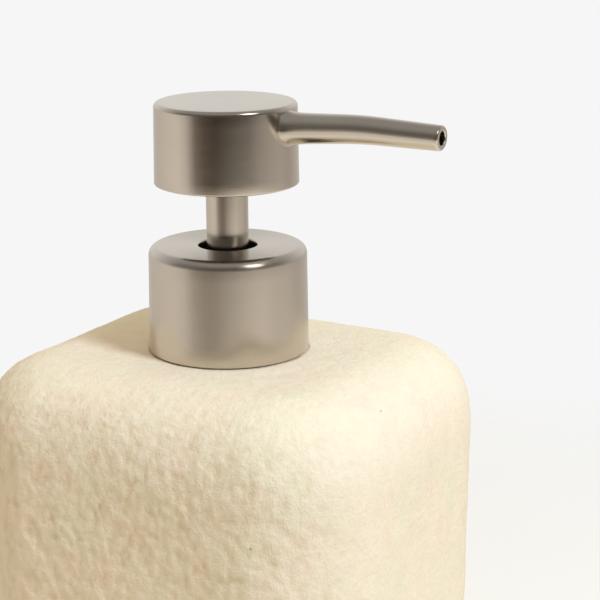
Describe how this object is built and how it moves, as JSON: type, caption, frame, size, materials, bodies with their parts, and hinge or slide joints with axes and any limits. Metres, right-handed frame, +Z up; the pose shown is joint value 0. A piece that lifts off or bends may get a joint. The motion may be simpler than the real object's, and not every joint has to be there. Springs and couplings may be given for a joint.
{
  "type": "soap pump dispenser",
  "caption": "Tabletop soap dispenser: cast rounded-box container with a matte rough surface and a screwed-on satin metal lotion pump with a drum head and a long bent spout.",
  "frame": {"origin": "on the pump's axis, in the plane that the pad rests on", "axes": "+Z up along the pump's axis; +X along the spout, square to a narrow face of the container; the wide faces look along -Y and +Y"},
  "size_m": [0.0928, 0.08, 0.1654],
  "materials": {
    "cast_body": "matte cream cast stone-effect resin with a rough, fibrous, pitted surface",
    "foam_pad": "matte closed-cell pad",
    "satin_nickel": "satin, warm nickel tone, finely turned",
    "bright_steel": "bright drawn stainless steel",
    "dark_plastic": "moulded black polypropylene",
    "natural_plastic": "moulded natural polypropylene",
    "soft_seal": "soft foam seal"
  },
  "bodies": {
    "container": {"body_shell": "cast_body", "base_plate": "cast_body", "base_pad": "foam_pad", "neck_insert": "dark_plastic"},
    "pump_unit": {"pump_housing": "natural_plastic", "stem_guide": "dark_plastic", "gasket": "soft_seal", "dip_tube": "natural_plastic", "ball_retainer": "natural_plastic", "main_spring": "bright_steel"},
    "closure": {"collar_shell": "satin_nickel", "screw_cap": "dark_plastic"},
    "plunger": {"piston_rod": "natural_plastic"},
    "piston": {"piston": "natural_plastic"},
    "head": {"head_shell": "satin_nickel", "actuator_core": "dark_plastic", "spout_tube": "satin_nickel", "stem_sleeve": "satin_nickel", "stem": "natural_plastic"},
    "inlet_ball": {"inlet_ball": "bright_steel"}
  },
  "joints": [
    {"name": "pump_lift", "type": "slide", "parent": "container", "child": "pump_unit", "axis": [0, 0, 1], "range_m": [0, 0.00636]},
    {"name": "closure_turn", "type": "hinge", "parent": "pump_unit", "child": "closure", "pos_m": [0, 0, 0.125], "axis": [0, 0, 1], "range_deg": [0, 540]},
    {"name": "head_press", "type": "slide", "parent": "pump_unit", "child": "plunger", "axis": [0, 0, -1], "range_m": [0, 0.0115], "stiffness_N_per_m": 600, "springref_m": -0.012, "deforming": ["main_spring"]},
    {"name": "spout_swivel", "type": "hinge", "parent": "plunger", "child": "head", "pos_m": [0, 0, 0.15], "axis": [0, 0, 1], "continuous": true},
    {"name": "piston_slip", "type": "slide", "parent": "plunger", "child": "piston", "axis": [0, 0, 1], "range_m": [0, 0.0012]},
    {"name": "inlet_ball_lift", "type": "slide", "parent": "pump_unit", "child": "inlet_ball", "axis": [0, 0, 1], "range_m": [0, 0.0014]}
  ],
  "couplings": [
    {"joint": "pump_lift", "follows": "closure_turn", "m_per_rad": 0.0006737}
  ]
}
